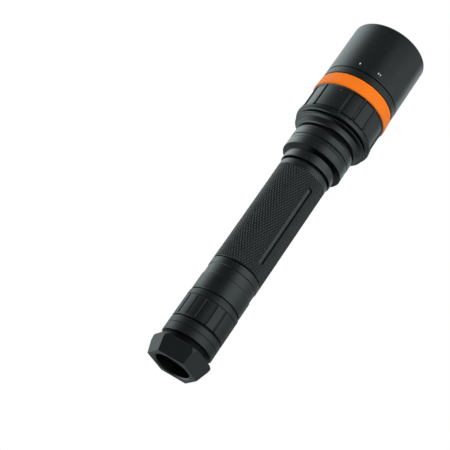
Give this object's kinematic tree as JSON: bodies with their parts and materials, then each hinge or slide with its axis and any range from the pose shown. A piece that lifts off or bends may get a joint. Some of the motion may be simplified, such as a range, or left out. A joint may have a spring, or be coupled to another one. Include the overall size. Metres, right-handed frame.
{
  "type": "tactical flashlight",
  "caption": "Hand-held tactical flashlight with a cylindrical bell, a turning output selector with a coloured band, a knurled battery tube and a push-button tail cap.",
  "frame": {"origin": "centre of the tail crown's end face, on the beam axis", "axes": "+Z along the beam towards the lens; -Y is the side with the low mark and the index dot near it"},
  "size_m": [0.0412, 0.0412, 0.2028],
  "materials": {
    "black_anodised": "satin black anodised",
    "orange_band": "matte orange moulding",
    "black_plastic": "matte",
    "lens_glass": "clear coated",
    "reflector_mirror": "vacuum-metallised",
    "seal_rubber": "matte",
    "boot_rubber": "matte",
    "white_plastic": "matte",
    "emitter_ceramic": "phosphor under a clear dome",
    "board_white": "white solder mask on metal-core board",
    "board_green": "satin solder mask",
    "component_black": "satin",
    "wire_red_black": "silicone jacket",
    "steel": "plain",
    "spring_gold": "gold-plated",
    "brass_ring": "turned",
    "cell_wrap": "shrink-wrapped can",
    "magnet_nickel": "nickel-plated"
  },
  "bodies": {
    "light": {"bell_housing": "black_anodised", "front_lens": "lens_glass", "lens_o_ring": "seal_rubber", "reflector": "reflector_mirror", "led_centering_gasket": "white_plastic", "led_emitter": "emitter_ceramic", "led_board": "board_white", "led_board_screws": "steel", "head_core": "black_anodised", "led_wires": "wire_red_black", "driver_board": "board_green", "driver_components": "component_black", "hall_sensor": "component_black", "driver_retaining_ring": "brass_ring", "positive_contact_spring": "spring_gold", "bell_o_ring": "seal_rubber", "selector_seal_upper": "seal_rubber", "selector_seal_lower": "seal_rubber", "detent_ball": "steel", "detent_spring": "steel", "thrust_washer": "black_plastic", "ring_retainer": "black_anodised", "neck_sleeve": "black_anodised", "head_joint_o_ring": "seal_rubber", "body_tube": "black_anodised", "front_cell": "cell_wrap", "rear_cell": "cell_wrap", "tail_o_ring": "seal_rubber"},
    "selector": {"selector_ring": "black_anodised", "indicator_band": "orange_band", "selector_magnet": "magnet_nickel", "travel_stop_pin": "steel"},
    "tail_carrier": {"tail_contact_spring": "spring_gold"},
    "tail": {"tail_cap": "black_anodised", "switch_boot": "boot_rubber", "boot_washer": "black_plastic", "switch_housing": "black_plastic", "switch_board": "board_green", "switch_retaining_ring": "brass_ring", "plunger_spring": "steel"},
    "button": {"switch_plunger": "white_plastic"}
  },
  "joints": [
    {"name": "selector_turn", "type": "hinge", "parent": "light", "child": "selector", "pos_m": [0, 0, 0.15], "axis": [0, 0, 1], "range_deg": [0, 32]},
    {"name": "tail_cap_travel", "type": "slide", "parent": "light", "child": "tail_carrier", "axis": [0, 0, -1], "range_m": [0, 0.008]},
    {"name": "tail_cap_turn", "type": "hinge", "parent": "tail_carrier", "child": "tail", "pos_m": [0, 0, 0.02], "axis": [0, 0, -1], "range_deg": [0, 2880]},
    {"name": "button_press", "type": "slide", "parent": "tail", "child": "button", "axis": [0, 0, 1], "range_m": [0, 0.0015], "stiffness_N_per_m": 2000, "deforming": ["plunger_spring", "switch_boot"]}
  ],
  "couplings": [
    {"joint": "tail_cap_travel", "follows": "tail_cap_turn", "m_per_rad": 0.00015915}
  ]
}
